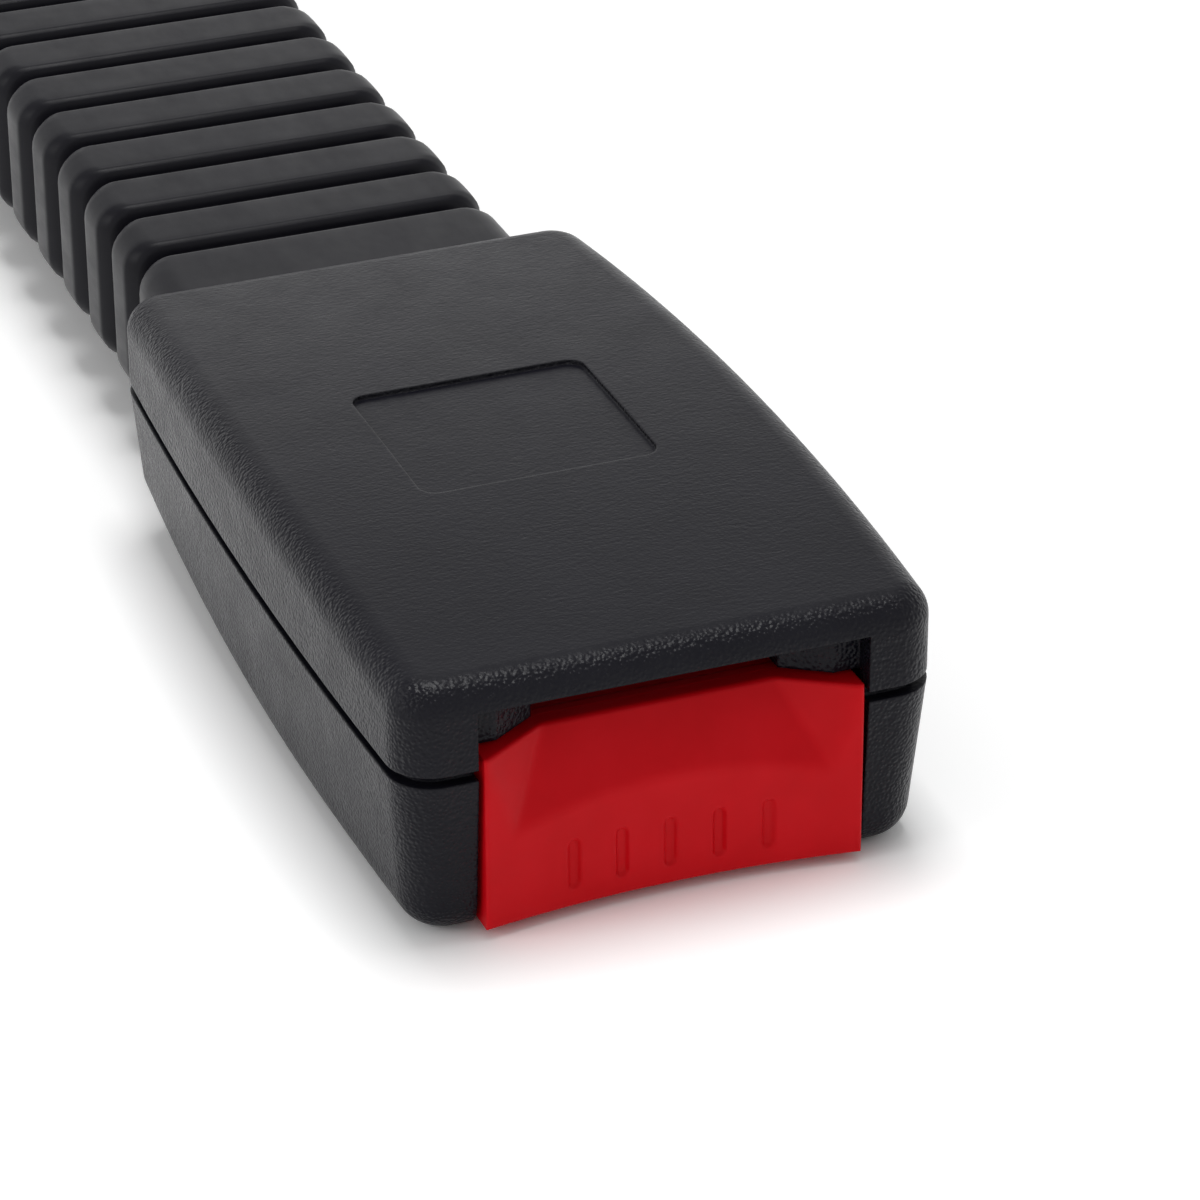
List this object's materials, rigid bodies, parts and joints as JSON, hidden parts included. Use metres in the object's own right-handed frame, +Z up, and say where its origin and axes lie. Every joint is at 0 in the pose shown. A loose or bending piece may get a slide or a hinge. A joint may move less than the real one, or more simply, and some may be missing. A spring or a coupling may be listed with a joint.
{
  "type": "seat belt extender",
  "caption": "Vehicle seat belt extender: end-release buckle with a red press button, ribbed stalk over webbing, and a steel tongue with a plastic grip.",
  "frame": {"origin": "middle of the base, under the centre of the object's length and width", "axes": "+X across the buckle, +Y from the press button to the steel tongue, +Z up from the face it rests on"},
  "size_m": [0.0494, 0.2658, 0.0259],
  "materials": {
    "grained_plastic": "moulded, leather-grained, semi-matte black",
    "sleeve_plastic": "smooth moulded, semi-matte black",
    "red_plastic": "satin moulded red",
    "white_plastic": "natural acetal",
    "zinc_steel": "zinc-plated pressed steel",
    "hardened_steel": "hardened steel",
    "spring_steel": "drawn spring wire",
    "chromed_steel": "polished chrome plate",
    "black_webbing": "woven polyester webbing",
    "black_thread": "bonded sewing thread"
  },
  "bodies": {
    "housing": {"lower_cover": "grained_plastic", "upper_cover": "grained_plastic", "buckle_frame": "zinc_steel", "latch_pin": "hardened_steel", "latch_pin_clip": "spring_steel", "latch_spring": "spring_steel", "ejector_spring": "spring_steel", "button_spring_left": "spring_steel", "button_spring_right": "spring_steel", "frame_web_guard": "white_plastic", "webbing": "black_webbing", "front_stitching": "black_thread", "sleeve": "sleeve_plastic"},
    "button": {"press_button": "red_plastic"},
    "latch": {"latch_plate": "hardened_steel"},
    "ejector": {"ejector": "white_plastic"},
    "tongue": {"tongue_plate": "chromed_steel", "tongue_web_guard": "white_plastic", "grip_lower": "grained_plastic", "grip_upper": "grained_plastic", "rear_stitching": "black_thread"}
  },
  "joints": [
    {"name": "button_press", "type": "slide", "parent": "housing", "child": "button", "axis": [0, 1, 0], "range_m": [0, 0.005], "stiffness_N_per_m": 250, "springref_m": -0.006, "deforming": ["button_spring_left", "button_spring_right"]},
    {"name": "latch_swing", "type": "hinge", "parent": "housing", "child": "latch", "pos_m": [0, -0.09275, 0.0125], "axis": [1, 0, 0], "range_deg": [0, 11.46], "deforming": ["latch_spring"]},
    {"name": "ejector_slide", "type": "slide", "parent": "housing", "child": "ejector", "axis": [0, 1, 0], "range_m": [0, 0.01], "stiffness_N_per_m": 120, "springref_m": -0.006, "deforming": ["ejector_spring"]},
    {"name": "stalk_bend", "type": "hinge", "parent": "housing", "child": "tongue", "pos_m": [0, 0.01175, 0.0144], "axis": [1, 0, 0], "range_deg": [-30, 30], "stiffness_Nm_per_rad": 1.5, "deforming": ["sleeve", "webbing"]}
  ],
  "couplings": [
    {"joint": "latch_swing", "follows": "button_press", "rad_per_m": 40}
  ]
}
